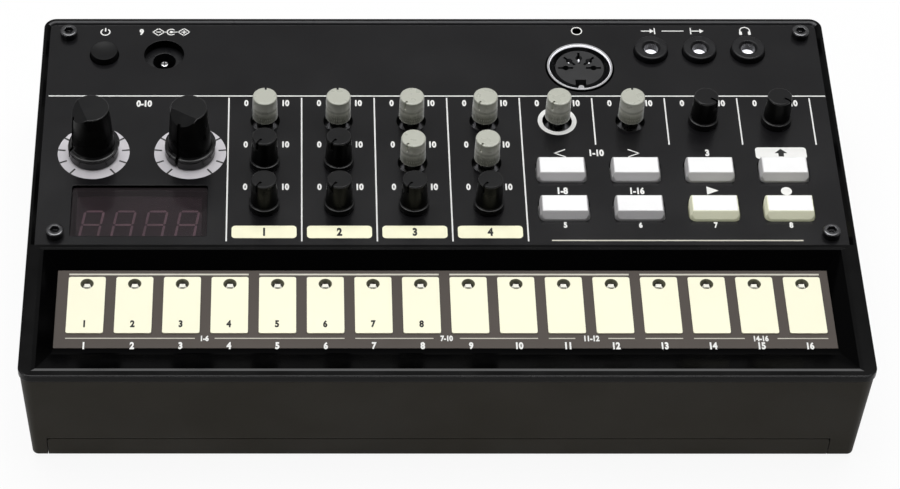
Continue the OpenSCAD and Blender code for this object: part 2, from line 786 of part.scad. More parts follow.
module foot(x, y) translate([x, y, 0]) rotate_extrude() {
    r = 5.5;
    edge = 0.5;
    square([r - edge, foot_h]);
    translate([0, edge]) square([r, foot_h - edge]);
    translate([r - edge, edge]) circle(edge);
}

module rear_feet() color("#101011") for (x = [-1, 1]) foot(x * (half_w - 14), half_d - 13);

module front_feet() color("#101011") for (x = [-1, 1]) foot(x * (half_w - 18), -half_d + 13);

// Sliding hatch: floor plate with tongues at its sides and back, lip that is part of the front wall.
module battery_hatch() color("#1b1b1d") {
    left = hatch_left + 0.2;
    right = hatch_right - 0.2;
    difference() {
        union() {
            box(left + floor_in, right - floor_in, lip_in - 0.5, hatch_back, base_z, floor_z);
            box(left + tongue_in, right - tongue_in, lip_in - 0.5, hatch_back + lap, rail_z + 0.1, floor_z);
            intersection() {
                lower_outline();
                translate([0, -half_d - 2, 0]) rotate([-90, 0, 0]) linear_extrude(2 + half_d + lip_in)
                    translate([(hatch_left + hatch_right) / 2, -hatch_lip_z / 2])
                        round_rect(hatch_right - hatch_left, hatch_lip_z, 0.9);
            }
        }
        // Finger grip.
        for (i = [0:5]) box(-12, 12, -half_d + 12 + i * 1.8, -half_d + 12.9 + i * 1.8, 0, base_z + 0.4);
    }
}

// Round button with a shallow dish on top and a collar below the panel.
module power_button() color("#232326") {
    top = panel_z + 1.7;
    foot_z = panel_under - 1;
    edge = 0.2;
    dish = 0.35;
    dish_r = (pow(power_r - edge, 2) + pow(dish, 2)) / (2 * dish);
    translate([power_x, power_y, 0]) {
        difference() {
            rotate_extrude() translate([0, foot_z]) {
                square([power_r - edge, top - foot_z]);
                square([power_r, top - edge - foot_z]);
                translate([power_r - edge, top - edge - foot_z]) circle(edge);
                square([power_r + 1, 1]);
            }
            translate([0, 0, top - dish + dish_r]) sphere(dish_r);
        }
        rod(0, 0, stem_r, stem_z, panel_under - 0.5);
    }
}

// ---- knobs and buttons ---------------------------------------------------------------

// Large knob: tapering grip, hollowed flare, skirt, slanted face and groove on the pointer side.
module dial(i, angle) color("#121213") {
    z0 = panel_z + gap;
    top = panel_z + dial_top;
    skirt_z = panel_z + 2.4;
    grip_z = panel_z + 3.8;
    flare = dial_skirt_r - dial_grip_r - 0.1;
    chord = 0.47 * dial_r;
    bore_top = top - 4;
    edge = 0.3;
    lean = atan((dial_grip_r - dial_r) / (top - grip_z));
    translate([dial_x(i), dial_y, 0]) rotate(-angle) {
        difference() {
            union() {
                rotate_extrude() {
                    polygon([
                        [0, grip_z - 0.5], [dial_grip_r + 0.03, grip_z - 0.5], [dial_r, top - edge],
                        [dial_r - edge, top - edge], [dial_r - edge, top], [0, top],
                    ]);
                    translate([dial_r - edge, top - edge]) circle(edge);
                    translate([0, z0]) square([dial_skirt_r, skirt_z - z0]);
                    difference() {
                        translate([0, skirt_z - 0.1]) square([dial_skirt_r - 0.1, grip_z - skirt_z + 0.1]);
                        translate([dial_skirt_r - 0.1, grip_z]) circle(min(flare, grip_z - skirt_z));
                    }
                }
            }
            // Slanted face towards the pointer.
            translate([0, chord, top]) rotate([-atan(dial_slant / (dial_r - chord)), 0, 0])
                translate([-10, 0, 0]) cube([20, 12, 10]);
            // Pointer groove that follows the grip's taper and runs out through the skirt.
            translate([0, dial_r - 0.4, top]) rotate([lean, 0, 0])
                translate([-0.4, 0, -1.3 * dial_top]) cube([0.8, 6, 1.4 * dial_top]);
            rod(0, 0, dial_shaft_r + snug, z0 - 1, bore_top);
            // Hollow under the skirt.
            difference() {
                rod(0, 0, dial_skirt_r - 1.1, z0 - 1, z0 + 1);
                rod(0, 0, dial_shaft_r + 1.1, z0 - 2, z0 + 2);
            }
        }
        rod(0, 0, dial_shaft_r, pot_seat, bore_top - snug);
    }
}

// Notch on top from a distance off the middle, and a short groove down the pointer side.
module small_pointer(r, top, start) {
    translate([-0.28, start, top - 0.45]) cube([0.56, 2 * r, 2]);
    translate([-0.28, r - 0.4, top - 2.4]) cube([0.56, r, 4]);
}

module clear_knob(column, row, angle) color("#b9bcae") {
    z0 = panel_z + clear_lift;
    top = panel_z + clear_top;
    edge = 0.35;
    r_top = clear_r - 0.13;
    translate([knob_x(column), knob_y(row), 0]) rotate(-angle) difference() {
        rotate_extrude() {
            polygon([
                [0, z0], [clear_r, z0], [r_top, top - edge], [r_top - edge, top - edge],
                [r_top - edge, top], [0, top],
            ]);
            translate([r_top - edge, top - edge]) circle(edge);
        }
        small_pointer(r_top, top, 0.72 * r_top);
        rod(0, 0, shaft_r + snug, z0 - 1, shaft_top);
    }
}

// Metal shaft with a splined end inside the clear knob.
module knob_shaft(column, row) color("#cfd0d2") {
    teeth = 18;
    translate([knob_x(column), knob_y(row), 0]) {
        rod(0, 0, shaft_r, pot_seat, panel_z + 0.9);
        translate([0, 0, panel_z + 0.4]) linear_extrude(shaft_top - panel_z - 0.4) {
            circle(shaft_r - 0.25);
            for (i = [0:teeth / 2 - 1]) rotate(i * 360 / teeth)
                square([2 * shaft_r - 0.04, 0.3], center = true);
        }
    }
}

module black_knob(column, row, angle) color("#0f0f10") {
    z0 = panel_z + gap;
    top = panel_z + (column > 5 ? low_top : black_top);
    skirt_z = panel_z + 1.3;
    grip_z = panel_z + 2.2;
    grip_r = black_r + 0.2;
    flare = skirt_r - grip_r;
    edge = 0.45;
    bore_top = top - 3;
    translate([knob_x(column), knob_y(row), 0]) rotate(-angle) {
        difference() {
            rotate_extrude() {
                polygon([
                    [0, grip_z - 0.3], [grip_r + 0.02, grip_z - 0.3], [black_r, top - edge],
                    [black_r - edge, top - edge], [black_r - edge, top], [0, top],
                ]);
                translate([black_r - edge, top - edge]) circle(edge);
                translate([0, z0]) square([skirt_r, skirt_z - z0]);
                difference() {
                    translate([0, skirt_z - 0.1]) square([skirt_r, grip_z - skirt_z + 0.1]);
                    translate([skirt_r, grip_z]) circle(min(flare, grip_z - skirt_z));
                }
            }
            small_pointer(black_r, top, 0.42 * black_r);
            rod(0, 0, shaft_r + snug, z0 - 1, bore_top);
        }
        rod(0, 0, shaft_r, pot_seat, bore_top - snug);
    }
}

// Tapering outline of a button's cap with rounded top edges: x across, y up.
module cap_profile(half, slope, z0, z1) {
    edge = 0.35;
    k = slope / (z1 - z0);
    q = sqrt(1 + k * k);
    arc_x = half - k * (z1 - edge - z0) - edge * q;
    flank = [arc_x + edge / q, z1 - edge + edge * k / q];
    polygon([
        [-half, z0], [half, z0], flank, [arc_x, z1], [-arc_x, z1], [-flank[0], flank[1]],
    ]);
    for (side = [-1, 1]) translate([side * arc_x, z1 - edge]) circle(edge);
}

// Button: upright sides in the panel, tapering cap above it, collar below, stem to its switch.
module button(column, row) color("#f4f4f2") {
    z1 = panel_z + 0.4;
    top = panel_z + button_h;
    translate([button_x(column), button_y(row), 0]) {
        difference() {
            union() {
                translate([0, 0, panel_under - 0.5]) linear_extrude(z1 - panel_under + 0.5)
                    round_rect(button_w, button_d, button_round);
                intersection() {
                    along_depth(button_d) cap_profile(button_w / 2, button_side, z1, top);
                    along_width(button_w) cap_profile(button_d / 2, button_slope, z1, top);
                    linear_extrude(top + 1) round_rect(button_w, button_d, button_round);
                }
                translate([0, 0, panel_under - 1]) linear_extrude(1)
                    round_rect(button_w + 1.6, button_d + 1.6, button_round);
            }
            translate([0, 0, panel_under - 2]) linear_extrude(panel_t + 2 + 0.8)
                round_rect(button_w - 2.6, button_d - 2.6, 0.6);
        }
        rod(0, 0, stem_r, stem_z, top - 1);
    }
}

// ---- everything ----------------------------------------------------------------------

bottom_case();
top_case();
touch_plate();
touch_pads();
step_leds();
touch_board();
case_screws();
midi_socket();
midi_shell();
mini_jacks();
dc_jack();
dc_pin();
display_module();
display_window();
panel_board();
io_board();
main_board();
battery_box();
potentiometers();
switches();
speaker();
battery_contacts();
rear_feet();
battery_hatch();
front_feet();
power_button();
for (d = dials) dial(d[1], d[2]);
for (k = knobs) union() {
    if (k[4]) clear_knob(k[1], k[2], k[3]);
    else black_knob(k[1], k[2], k[3]);
}
for (s = shafts) knob_shaft(s[1], s[2]);
for (b = buttons) button(b[1], b[2]);
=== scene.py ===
"""Looks of a tabletop drum machine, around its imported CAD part.

Sizes are in millimetres in the frame's own axes (+X right, +Y back, +Z up) and
become metres when a mesh is made. Every mark is placed from the part it labels.
"""

import math

import bmesh
import bpy
from mathutils import Matrix, Vector

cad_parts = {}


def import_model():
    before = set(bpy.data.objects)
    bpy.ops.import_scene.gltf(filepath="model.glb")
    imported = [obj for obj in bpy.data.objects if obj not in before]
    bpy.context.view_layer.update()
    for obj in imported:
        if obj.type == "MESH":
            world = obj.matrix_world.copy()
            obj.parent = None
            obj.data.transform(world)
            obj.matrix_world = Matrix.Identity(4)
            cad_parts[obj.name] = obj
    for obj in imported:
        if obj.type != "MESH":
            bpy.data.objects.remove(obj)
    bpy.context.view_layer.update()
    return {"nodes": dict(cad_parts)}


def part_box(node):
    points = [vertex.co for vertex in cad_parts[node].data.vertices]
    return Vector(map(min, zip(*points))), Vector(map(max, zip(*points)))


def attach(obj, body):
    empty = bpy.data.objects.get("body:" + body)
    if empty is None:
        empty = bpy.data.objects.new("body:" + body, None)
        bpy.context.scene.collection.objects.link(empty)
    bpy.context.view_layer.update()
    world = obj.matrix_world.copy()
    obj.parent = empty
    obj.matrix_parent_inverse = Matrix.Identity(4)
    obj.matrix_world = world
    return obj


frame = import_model()

MM = 0.001
NODES = frame["nodes"]


def low(node):
    """Lowest corner of a node, in millimetres."""
    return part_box(node)[0] / MM


def high(node):
    """Highest corner of a node, in millimetres."""
    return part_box(node)[1] / MM


def middle(node):
    """Middle of a node's box, in millimetres."""
    return (low(node) + high(node)) / 2


# ---- places taken from the part ---------------------------------------------------------

RIM_TOP = high("top_case").z
PANEL_RECESS = 0.9  # panel below the rim
PANEL_Z = RIM_TOP - PANEL_RECESS
PANEL_FRONT = -17.8  # where the panel ends and the tray begins
RIM_W = 1.6  # rim round the panel
LIP_DROP = 0.3  # narrow bevel round the tray's mouth
PANEL_BACK = high("top_case").y - RIM_W
PANEL_HALF = high("top_case").x - RIM_W
PLATE_Z = high("touch_plate").z
KEY_Z = high("touch_pads").z
COLUMNS = [middle(f"knob_1{n}").x for n in range(1, 9)]
ROWS = [middle("knob_11").y, middle("knob_21").y, middle("knob_31").y]
COLUMN_PITCH = COLUMNS[1] - COLUMNS[0]
BUTTON_COLUMNS = [middle(f"button_1{n}").x for n in range(1, 5)]
BUTTON_ROWS = [middle("button_11").y, middle("button_21").y]
KEY_COUNT = 16
KEY_W = 8.55  # one touch key
KEY_PITCH = (high("touch_pads").x - low("touch_pads").x - KEY_W) / (KEY_COUNT - 1)
KEYS = [low("touch_pads").x + KEY_W / 2 + n * KEY_PITCH for n in range(KEY_COUNT)]
KEY_BACK = high("touch_pads").y
KEY_FRONT = low("touch_pads").y
DIAL_SKIRT_H = 4.0  # top of a large knob's skirt above the panel
KNOB_SKIRT_H = 2.3  # the same on a small black knob
CLEAR_KNOBS = ["11", "12", "13", "14", "15", "16", "23", "24"]
BLACK_KNOBS = ["17", "18", "21", "22", "31", "32", "33", "34"]
BUTTONS = ["11", "12", "13", "14", "21", "22", "23", "24"]
LIT_BUTTONS = ["23", "24"]


# ---- materials --------------------------------------------------------------------------

class Surface:
    """A Principled material whose colour, roughness and relief vary with noise in the part's own space."""

    def __init__(self, name, colour, roughness, **sockets):
        self.material = bpy.data.materials.new(name)
        self.material.use_nodes = True
        self.tree = self.material.node_tree
        self.shader = self.tree.nodes["Principled BSDF"]
        self.colour = colour
        self.roughness = roughness
        self.set("Base Colour", (*colour, 1))
        self.set("Roughness", roughness)
        for label, value in sockets.items():
            self.set(label.replace("_", " "), value)
        self.place = self.node("TexCoord").outputs["Object"]
        self.normal = None

    def set(self, label, value):
        """Plain value of one of the shader's sockets."""
        label = label.replace("Colour", "Color")
        self.shader.inputs[label].default_value = value

    def node(self, kind, **values):
        """New shader node of a kind, with its own settings."""
        node = self.tree.nodes.new("ShaderNode" + kind)
        for label, value in values.items():
            setattr(node, label, value)
        return node

    def join(self, source, target):
        self.tree.links.new(source, target)

    def noise(self, size, detail):
        """Noise whose cells are about size millimetres wide."""
        texture = self.node("TexNoise")
        texture.inputs["Scale"].default_value = 1 / (size * MM)
        texture.inputs["Detail"].default_value = detail
        self.join(self.place, texture.inputs["Vector"])
        return texture.outputs["Fac"]

    def ramp(self, value, stops):
        """Colour ramp through (position, colour) stops."""
        ramp = self.node("ValToRGB")
        while len(ramp.color_ramp.elements) < len(stops):
            ramp.color_ramp.elements.new(0.5)
        for element, (position, colour) in zip(ramp.color_ramp.elements, stops):
            element.position = position
            element.color = (*colour, 1)
        self.join(value, ramp.inputs["Fac"])
        return ramp.outputs["Color"]

    def tint(self, size, amount, detail=4.0):
        """Lighter and darker patches of the base colour."""
        dark = tuple(c * (1 - amount) for c in self.colour)
        light = tuple(min(1.0, c * (1 + amount)) for c in self.colour)
        patches = self.ramp(self.noise(size, detail), [(0.3, dark), (0.7, light)])
        self.join(patches, self.shader.inputs["Base Color"])
        return self

    def polish(self, size, amount, detail=5.0):
        """Roughness that rises and falls by amount: handling marks and moulding haze."""
        spread = self.node("MapRange")
        spread.inputs["From Min"].default_value = 0.3
        spread.inputs["From Max"].default_value = 0.7
        spread.inputs["To Min"].default_value = max(0.02, self.roughness - amount)
        spread.inputs["To Max"].default_value = self.roughness + amount
        self.join(self.noise(size, detail), spread.inputs["Value"])
        self.join(spread.outputs["Result"], self.shader.inputs["Roughness"])
        return self

    def grain(self, size, height, detail=2.0):
        """Raised moulding grain, height in millimetres."""
        bump = self.node("Bump")
        bump.inputs["Distance"].default_value = height * MM
        self.join(self.noise(size, detail), bump.inputs["Height"])
        if self.normal is not None:
            self.join(self.normal, bump.inputs["Normal"])
        self.normal = bump.outputs["Normal"]
        self.join(self.normal, self.shader.inputs["Normal"])
        return self

    def math(self, operation, *values):
        """A Math node on sockets and plain numbers."""
        node = self.node("Math", operation=operation)
        for socket, value in zip(node.inputs, values):
            if isinstance(value, (int, float)):
                socket.default_value = value
            else:
                self.join(value, socket)
        return node.outputs[0]

    def soft_edges(self, radius):
        """Edges catch the light as if rounded to this radius in millimetres."""
        bevel = self.node("Bevel", samples=6)
        bevel.inputs["Radius"].default_value = radius * MM
        self.normal = bevel.outputs["Normal"]
        self.join(self.normal, self.shader.inputs["Normal"])
        return self


def clear_material():
    """Frosted knob cap with painted light and shade: pale bands, a painted shadow line at half height, a
    light foot as a painted highlight and a ring of teeth above it as painted glints on the front side.
    """
    surface = Surface("knob_clear_painted_light", (0.62, 0.63, 0.55), 0.3, Coat_Weight=0.5, Coat_Roughness=0.15,
                      Transmission_Weight=0.12, IOR=1.49, Sheen_Weight=0.9, Sheen_Roughness=0.30)
    split = surface.node("SeparateXYZ")
    surface.join(surface.place, split.inputs["Vector"])
    local = []
    for axis, first, second in (("X", COLUMNS[0], COLUMNS[1]), ("Y", ROWS[0], ROWS[1])):
        reach = abs(second - first) / 2
        wrapped = surface.math("WRAP", split.outputs[axis], (first + reach) * MM, (first - reach) * MM)
        local.append(surface.math("SUBTRACT", wrapped, first * MM))
    turn = surface.math("ARCTAN2", local[1], local[0])
    base, top = low("knob_11").z, high("knob_11").z
    level = surface.node("MapRange")
    surface.join(split.outputs["Z"], level.inputs["Value"])
    level.inputs["From Min"].default_value = base * MM
    level.inputs["From Max"].default_value = top * MM
    level = level.outputs["Result"]
    # painted light and shade by height: the light foot and light bands are painted highlights, the dark
    # band at half height is a painted shadow
    body = surface.ramp(level, [
        (0.015, (0.90, 0.90, 0.80)), (0.05, (0.50, 0.51, 0.42)), (0.22, (0.44, 0.45, 0.36)),
        (0.44, (0.86, 0.86, 0.76)), (0.53, (0.48, 0.49, 0.41)), (0.62, (0.84, 0.84, 0.76)),
        (0.88, (0.66, 0.67, 0.58)), (0.965, (0.50, 0.51, 0.44)),
    ])
    tooth_count = 36.0
    teeth_from = 0.15
    teeth_to = 0.21
    rib_count = 44.0
    rib_top = 0.42
    front_y = -2.5
    # painted glints of the shaft's teeth: a ring at one height, on the front side only
    wave = surface.math("SINE", surface.math("MULTIPLY", turn, tooth_count))
    teeth = surface.math("GREATER_THAN", wave, 0.1)
    for limit, edge in (("GREATER_THAN", teeth_from), ("LESS_THAN", teeth_to)):
        teeth = surface.math("MULTIPLY", teeth, surface.math(limit, level, edge))
    front = surface.math("LESS_THAN", local[1], front_y * MM)
    teeth = surface.math("MULTIPLY", teeth, front)
    glints = surface.node("Mix", data_type="RGBA")
    surface.join(teeth, glints.inputs["Factor"])
    surface.join(body, glints.inputs[6])
    glints.inputs[7].default_value = (0.80, 0.80, 0.70, 1)
    surface.join(glints.outputs[2], surface.shader.inputs["Base Color"])
    ribs = surface.math("MULTIPLY", surface.math("SINE", surface.math("MULTIPLY", turn, rib_count)),
                        surface.math("LESS_THAN", level, rib_top))
    relief = surface.node("Bump")
    relief.inputs["Distance"].default_value = 0.08 * MM
    surface.join(ribs, relief.inputs["Height"])
    surface.normal = relief.outputs["Normal"]
    surface.polish(3, 0.08)
    surface.grain(0.6, 0.006)
    return surface


def paint(node, finishes, pick):
    """Puts the finishes on a node and gives each face the one that pick names for it."""
    piece = NODES[node]
    piece.data.materials.clear()
    for surface in finishes:
        piece.data.materials.append(surface.material)
    for face in piece.data.polygons:
        face.material_index = finishes.index(pick(face))


def dress(surface, *names):
    """Gives the nodes one finish all over."""
    for name in names:
        paint(name, (surface,), lambda face: surface)


def dress_top():
    """Satin panel, black slopes round the touch keys, glossy rim, with painted highlights on the bevel
    behind the panel and on the rim's rounded front edge: one finish per face of the top case.
    """
    slack = 0.02
    tray_depth = 2
    bevel_reach = 1
    edge_depth = 0.5
    lip_slack = 0.05

    def pick(face):
        x, y, z = face.center / MM
        up = face.normal.z
        back = face.normal.y
        inside = abs(x) < PANEL_HALF + slack and y < PANEL_BACK + slack
        behind = y > PANEL_FRONT
        if inside and behind and abs(z - PANEL_Z) < slack:
            return PANEL
        if inside and not behind and PLATE_Z - tray_depth < z < RIM_TOP - LIP_DROP and up > 0.2:
            return SLOPE
        # painted highlight: the tilted faces of the back bevel get the lighter bevel finish
        tilted = 0.2 < up < 0.9 and back < -0.3
        if y > PANEL_BACK - bevel_reach and PANEL_Z < z < RIM_TOP - slack and tilted:
            return BEVEL_HIGHLIGHT
        # painted highlight: the rim's rounded front edge gets a lighter copy of the rim black
        rounded_off = 0.1 < up < 0.97 and back < -0.3
        if z > RIM_TOP - edge_depth and y < PANEL_FRONT and rounded_off:
            return EDGE_HIGHLIGHT
        if inside and behind and z < PANEL_Z - slack:
            return SLOPE
        if not behind and RIM_TOP - LIP_DROP - lip_slack < z < RIM_TOP - slack / 2 and back > 0.2:
            return LIP
        return RIM

    paint("top_case", (RIM, PANEL, SLOPE, BEVEL_HIGHLIGHT, EDGE_HIGHLIGHT, LIP), pick)


def dress_knob(node, grip_height):
    """Grip sides in a darker copy of the black as painted shade, satin top, a lighter copy as painted
    highlight on the rounded edge round it, glossy skirt and hollow.
    """
    top = high(node).z
    grip_foot = PANEL_Z + grip_height
    edge_depth = 0.6

    def pick(face):
        z = face.center.z / MM
        up = face.normal.z
        # painted shade: the grip sides are darker than the top
        if z > grip_foot and up < 0.15:
            return GRIP_SHADE
        # painted highlight: the rounded edge round the top gets a lighter copy of the black
        if z > top - edge_depth and up < 0.9:
            return EDGE_HIGHLIGHT
        if z > grip_foot:
            return BLACK
        return GLOSS

    paint(node, (GLOSS, GRIP_SHADE, BLACK, EDGE_HIGHLIGHT), pick)


def dress_button(node, side_look):
    """White top, sides in side_look: on plain buttons a darker copy of the white, painted shade."""
    paint(node, (WHITE, side_look), lambda face: WHITE if face.normal.z > 0.9 else side_look)


def back_bevel():
    """Bevel behind the panel: a painted highlight as a light line along its upper edge, panel black below.
    """
    surface = Surface("rim_bevel_painted_highlight", (0.16, 0.16, 0.165), 0.30, Specular_IOR_Level=0.40)
    split = surface.node("SeparateXYZ")
    surface.join(surface.place, split.inputs["Vector"])
    level = surface.node("MapRange")
    surface.join(split.outputs["Z"], level.inputs["Value"])
    level.inputs["From Min"].default_value = PANEL_Z * MM
    level.inputs["From Max"].default_value = RIM_TOP * MM
    # painted highlight: a light band across the bevel's middle heights, black at its foot and top
    line = surface.ramp(level.outputs["Result"], [
        (0.40, (0.009, 0.009, 0.010)), (0.62, (0.15, 0.15, 0.155)), (0.80, (0.17, 0.17, 0.175)),
        (0.98, (0.012, 0.012, 0.012)),
    ])
    surface.join(line, surface.shader.inputs["Base Color"])
    return surface.polish(10, 0.05).grain(0.30, 0.002)


PANEL = Surface("panel_satin", (0.0066, 0.0064, 0.0072), 0.22, Specular_IOR_Level=0.27) \
    .soft_edges(0.2).tint(26, 0.10).polish(18, 0.05).grain(0.30, 0.003)
RIM = Surface("rim_gloss", (0.0016, 0.0016, 0.0017), 0.18, Specular_IOR_Level=0.09) \
    .soft_edges(0.25).tint(20, 0.15).polish(10, 0.05).grain(0.30, 0.002)
# lighter copy of the rim black: painted highlight for rounded edges on the rim and knob tops
EDGE_HIGHLIGHT = Surface("rim_edge_painted_highlight", (0.0120, 0.0120, 0.0125), 0.25, Specular_IOR_Level=0.50) \
    .tint(20, 0.15).polish(10, 0.05).grain(0.30, 0.002)
# painted highlight on the bevel behind the panel
BEVEL_HIGHLIGHT = back_bevel()
LIP = Surface("lip_gloss", (0.0030, 0.0030, 0.0032), 0.10, Specular_IOR_Level=1.0, IOR=2.4) \
    .tint(20, 0.15).polish(10, 0.04).grain(0.30, 0.001)
SLOPE = Surface("slope_black", (0.0008, 0.0008, 0.0009), 0.12, Specular_IOR_Level=0.03) \
    .soft_edges(0.2).tint(20, 0.15).polish(10, 0.05).grain(0.30, 0.003)
WALL = Surface("wall_plastic", (0.0150, 0.0118, 0.0056), 0.48, Specular_IOR_Level=0.11) \
    .soft_edges(0.35).tint(25, 0.12).polish(16, 0.06).grain(0.40, 0.02)
CLEAR = clear_material()
PLATE = Surface("plate_look", (0.058, 0.046, 0.038), 0.40, Specular_IOR_Level=0.3) \
    .tint(30, 0.10).polish(12, 0.07).grain(0.5, 0.004)
KEY = Surface("key_film", (0.93, 0.91, 0.70), 0.40, Specular_IOR_Level=0.3) \
    .tint(24, 0.02).polish(9, 0.06).grain(0.8, 0.004)
WHITE = Surface("button_silicone", (0.90, 0.90, 0.90), 0.42, Specular_IOR_Level=0.35) \
    .soft_edges(0.3).tint(6, 0.02).polish(5, 0.06).grain(0.5, 0.006)
# darker copy of the button white: painted shade on the sides
WHITE_SIDE_SHADE = Surface("button_side", (0.68, 0.67, 0.68), 0.42, Specular_IOR_Level=0.35) \
    .soft_edges(0.3).tint(6, 0.02).polish(5, 0.06).grain(0.5, 0.006)
LIT_SIDE = Surface("button_side_lit", (0.94, 0.94, 0.76), 0.42, Specular_IOR_Level=0.35,
                   Emission_Colour=(0.90, 0.92, 0.60, 1), Emission_Strength=0.16) \
    .soft_edges(0.3).tint(6, 0.02).polish(5, 0.06).grain(0.5, 0.006)
BLACK = Surface("knob_black_look", (0.0070, 0.0070, 0.0074), 0.40, Specular_IOR_Level=0.14) \
    .soft_edges(0.2).tint(5, 0.15).polish(4, 0.08).grain(0.35, 0.008)
# darker copy of the knob black: painted shade on the grip sides
GRIP_SHADE = Surface("knob_grip_painted_shade", (0.0026, 0.0026, 0.0026), 0.30, Specular_IOR_Level=0.10) \
    .tint(5, 0.2).polish(4, 0.08).grain(0.35, 0.004)
GLOSS = Surface("dial_black_look", (0.0050, 0.0050, 0.0055), 0.20, Specular_IOR_Level=0.36) \
    .soft_edges(0.22).tint(6, 0.15).polish(5, 0.06).grain(0.4, 0.003)
STEEL = Surface("screw_steel_look", (0.12, 0.12, 0.124), 0.20, Metallic=1.0) \
    .soft_edges(0.25).tint(1.5, 0.25).polish(2, 0.08).grain(0.3, 0.008)
CHROME = Surface("socket_chrome", (0.88, 0.88, 0.90), 0.12, Metallic=1.0) \
    .tint(2, 0.05).polish(2, 0.05).grain(0.6, 0.002)
SHAFT = Surface("shaft_nickel", (0.50, 0.49, 0.46), 0.26, Metallic=1.0) \
    .tint(1.5, 0.1).polish(1.5, 0.08).grain(0.3, 0.004)
INSERT = Surface("socket_insert", (0.020, 0.020, 0.021), 0.45, Specular_IOR_Level=0.3) \
    .soft_edges(0.12).tint(4, 0.15).polish(3, 0.08).grain(0.3, 0.006)
COLLAR = Surface("socket_collar", (0.006, 0.006, 0.007), 0.30, Specular_IOR_Level=0.32) \
    .soft_edges(0.3).tint(4, 0.15).polish(3, 0.06).grain(0.4, 0.004)
RUBBER = Surface("foot_rubber_look", (0.012, 0.012, 0.012), 0.8, Specular_IOR_Level=0.2) \
    .tint(4, 0.2).polish(3, 0.1).grain(0.25, 0.02)
BOARD = Surface("circuit_board_look", (0.012, 0.075, 0.035), 0.35, Specular_IOR_Level=0.5) \
    .tint(6, 0.2).polish(5, 0.08).grain(0.6, 0.01)
PART_METAL = Surface("control_metal_look", (0.10, 0.10, 0.105), 0.40, Metallic=1.0) \
    .tint(3, 0.1).polish(3, 0.08).grain(0.5, 0.006)
DISPLAY = Surface("display_body", (0.016, 0.009, 0.011), 0.45, Specular_IOR_Level=0.3) \
    .tint(8, 0.15).polish(6, 0.08).grain(0.5, 0.005)
SEGMENT = Surface("display_segment", (0.56, 0.45, 0.47), 0.5, Specular_IOR_Level=0.3) \
    .tint(2, 0.12).polish(2, 0.08).grain(0.4, 0.004)
WINDOW = Surface("window_smoked", (0.40, 0.33, 0.36), 0.04, Transmission_Weight=0.96, IOR=1.26) \
    .tint(20, 0.05).polish(8, 0.02)
LAMP = Surface("lamp_block", (0.86, 0.85, 0.76), 0.35, Specular_IOR_Level=0.4) \
    .tint(1, 0.05).polish(1, 0.08).grain(0.3, 0.004)
OLIVE = Surface("lamp_rim", (0.15, 0.15, 0.10), 0.40, Specular_IOR_Level=0.4) \
    .tint(1, 0.10).polish(1, 0.08).grain(0.3, 0.004)
# glows though it is no lamp: painted highlight in the socket linings and contact tips
SLEEVE_GLOW = Surface("sleeve_painted_glow", (0.90, 0.90, 0.92), 0.35, Metallic=0.3,
                 Emission_Colour=(0.95, 0.95, 1.0, 1), Emission_Strength=0.75) \
    .tint(1, 0.05).polish(1, 0.08).grain(0.3, 0.002)

dress_top()
dress(WALL, "bottom_case", "battery_hatch", "battery_box")
dress(PLATE, "touch_plate")
dress(KEY, "touch_pads")
dress(STEEL, "case_screws")
dress(CHROME, "midi_shell", "dc_pin", "battery_contacts")
dress(INSERT, "midi_socket", "switches", "speaker")
dress(COLLAR, "mini_jacks", "dc_jack")
dress(DISPLAY, "display_module")
dress(WINDOW, "display_window")
dress(BOARD, "touch_board", "panel_board", "io_board", "main_board")
dress(PART_METAL, "potentiometers")
dress(BLACK, "power_button")
dress(RUBBER, "rear_feet", "front_feet")
for dial in ("dial_left", "dial_right"):
    dress_knob(dial, DIAL_SKIRT_H)
for number in BLACK_KNOBS:
    dress_knob(f"knob_{number}", KNOB_SKIRT_H)
dress(CLEAR, *[f"knob_{n}" for n in CLEAR_KNOBS])
dress(SHAFT, *[f"shaft_{n}" for n in CLEAR_KNOBS])
for number in BUTTONS:
    dress_button(f"button_{number}", LIT_SIDE if number in LIT_BUTTONS else WHITE_SIDE_SHADE)
dress(LAMP, "step_leds")


# ---- printed marks ----------------------------------------------------------------------

INK = 0.03  # thickness of a printed layer
OVER = 0.001  # step between two strokes of one colour that cross


def rectangle(x0, x1, y0, y1):
    """Outline of a rectangle, counter-clockwise from its front left corner."""
    return [(x0, y0), (x1, y0), (x1, y1), (x0, y1)]


def arc(x, y, r, start, end, steps=48):
    """Points counter-clockwise from start to end, in degrees from +X."""
    turns = [math.radians(start + (end - start) * n / steps) for n in range(steps + 1)]
    return [(x + r * math.cos(a), y + r * math.sin(a)) for a in turns]


def rounded(x0, x1, y0, y1, r):
    """Rectangle with corners of radius r."""
    corners = [(x1 - r, y1 - r, 0), (x0 + r, y1 - r, 90), (x0 + r, y0 + r, 180), (x1 - r, y0 + r, 270)]
    return [p for x, y, a in corners for p in arc(x, y, r, a, a + 90, 8)]


def disc(x, y, r, steps=48):
    """Outline of a full circle."""
    return arc(x, y, r, 0, 360 - 360 / steps, steps - 1)


def stroke(a, b, width):
    """A straight stroke from a to b as a four-cornered outline."""
    along = (Vector(b) - Vector(a)).normalized() * width / 2
    side = Vector((-along.y, along.x))
    return [tuple(Vector(a) - along - side), tuple(Vector(b) + along - side),
            tuple(Vector(b) + along + side), tuple(Vector(a) - along + side)]


def moved(x, y, points):
    """An outline drawn about the origin, moved to x, y."""
    return [(x + px, y + py) for px, py in points]


def curved(x, y, r, start, end, width, steps=32):
    """A bent stroke along an arc."""
    return arc(x, y, r + width / 2, start, end, steps) + arc(x, y, r - width / 2, end, start, steps)


